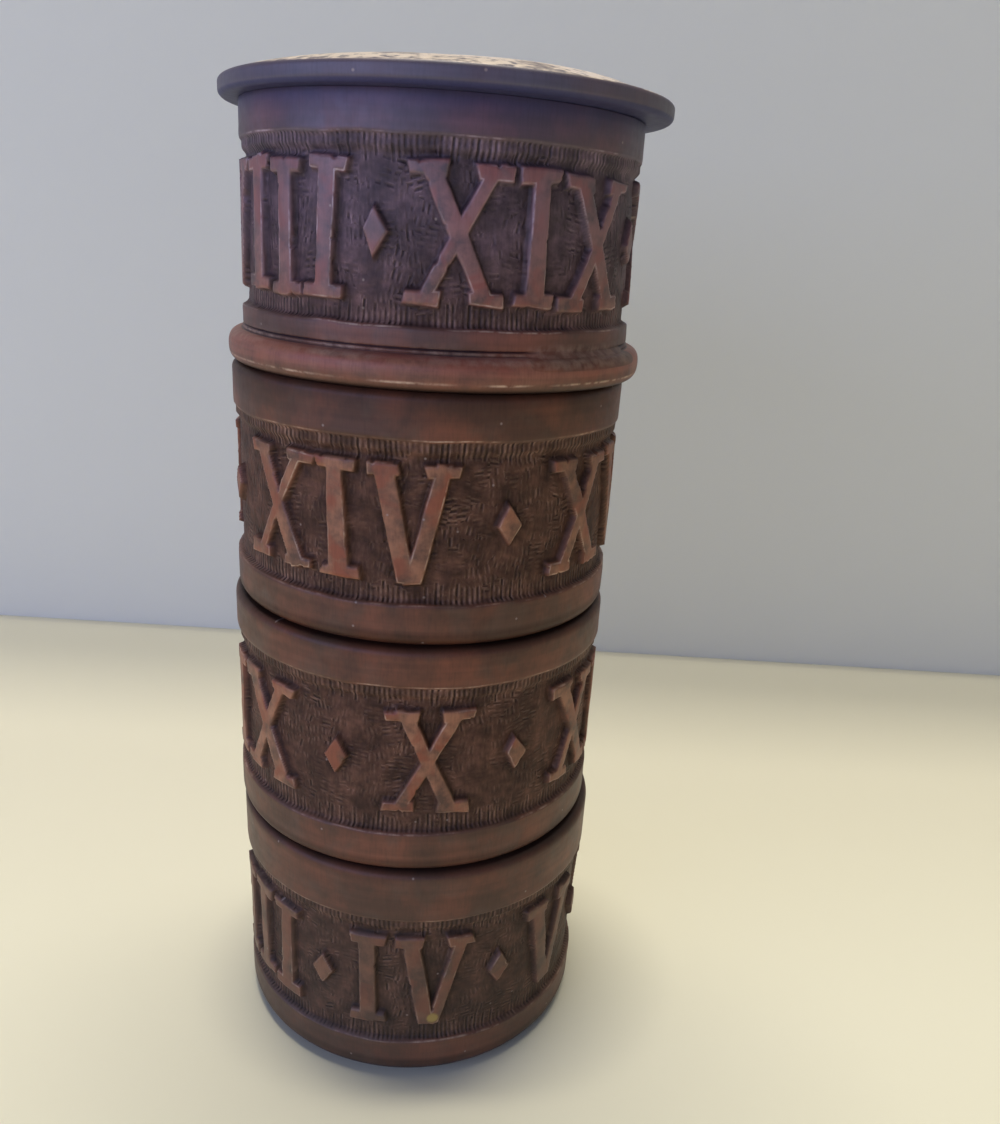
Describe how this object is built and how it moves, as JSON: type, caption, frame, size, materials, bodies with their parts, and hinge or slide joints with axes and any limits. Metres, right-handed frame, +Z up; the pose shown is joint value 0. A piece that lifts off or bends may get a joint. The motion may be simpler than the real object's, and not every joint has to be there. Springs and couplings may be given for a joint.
{
  "type": "spice tower",
  "caption": "Turned and carved wooden spice tower: round cups that stack neck in socket, each with a raised numeral band, under a wide domed lid.",
  "frame": {"origin": "centre of the base tier's flat foot, on the table", "axes": "+Z up along the turning axis, -Y towards the viewer of the picture"},
  "size_m": [0.0814, 0.0814, 0.194],
  "materials": {
    "carved_wood": "dark stained hardwood, turned, carved and waxed to a satin",
    "lid_wood": "dark stained hardwood, turned, worn paler on the top"
  },
  "bodies": {
    "base_tier": {"base_tier": "carved_wood"},
    "third_tier": {"third_tier": "carved_wood"},
    "second_tier": {"second_tier": "carved_wood"},
    "top_tier": {"top_tier": "carved_wood"},
    "lid": {"lid": "lid_wood"}
  },
  "joints": [
    {"name": "third_tier_lift", "type": "slide", "parent": "base_tier", "child": "third_tier", "axis": [0, 0, 1], "range_m": [0, 0.06]},
    {"name": "second_tier_lift", "type": "slide", "parent": "third_tier", "child": "second_tier", "axis": [0, 0, 1], "range_m": [0, 0.06]},
    {"name": "top_tier_lift", "type": "slide", "parent": "second_tier", "child": "top_tier", "axis": [0, 0, 1], "range_m": [0, 0.06]},
    {"name": "lid_lift", "type": "slide", "parent": "top_tier", "child": "lid", "axis": [0, 0, 1], "range_m": [0, 0.06]}
  ]
}
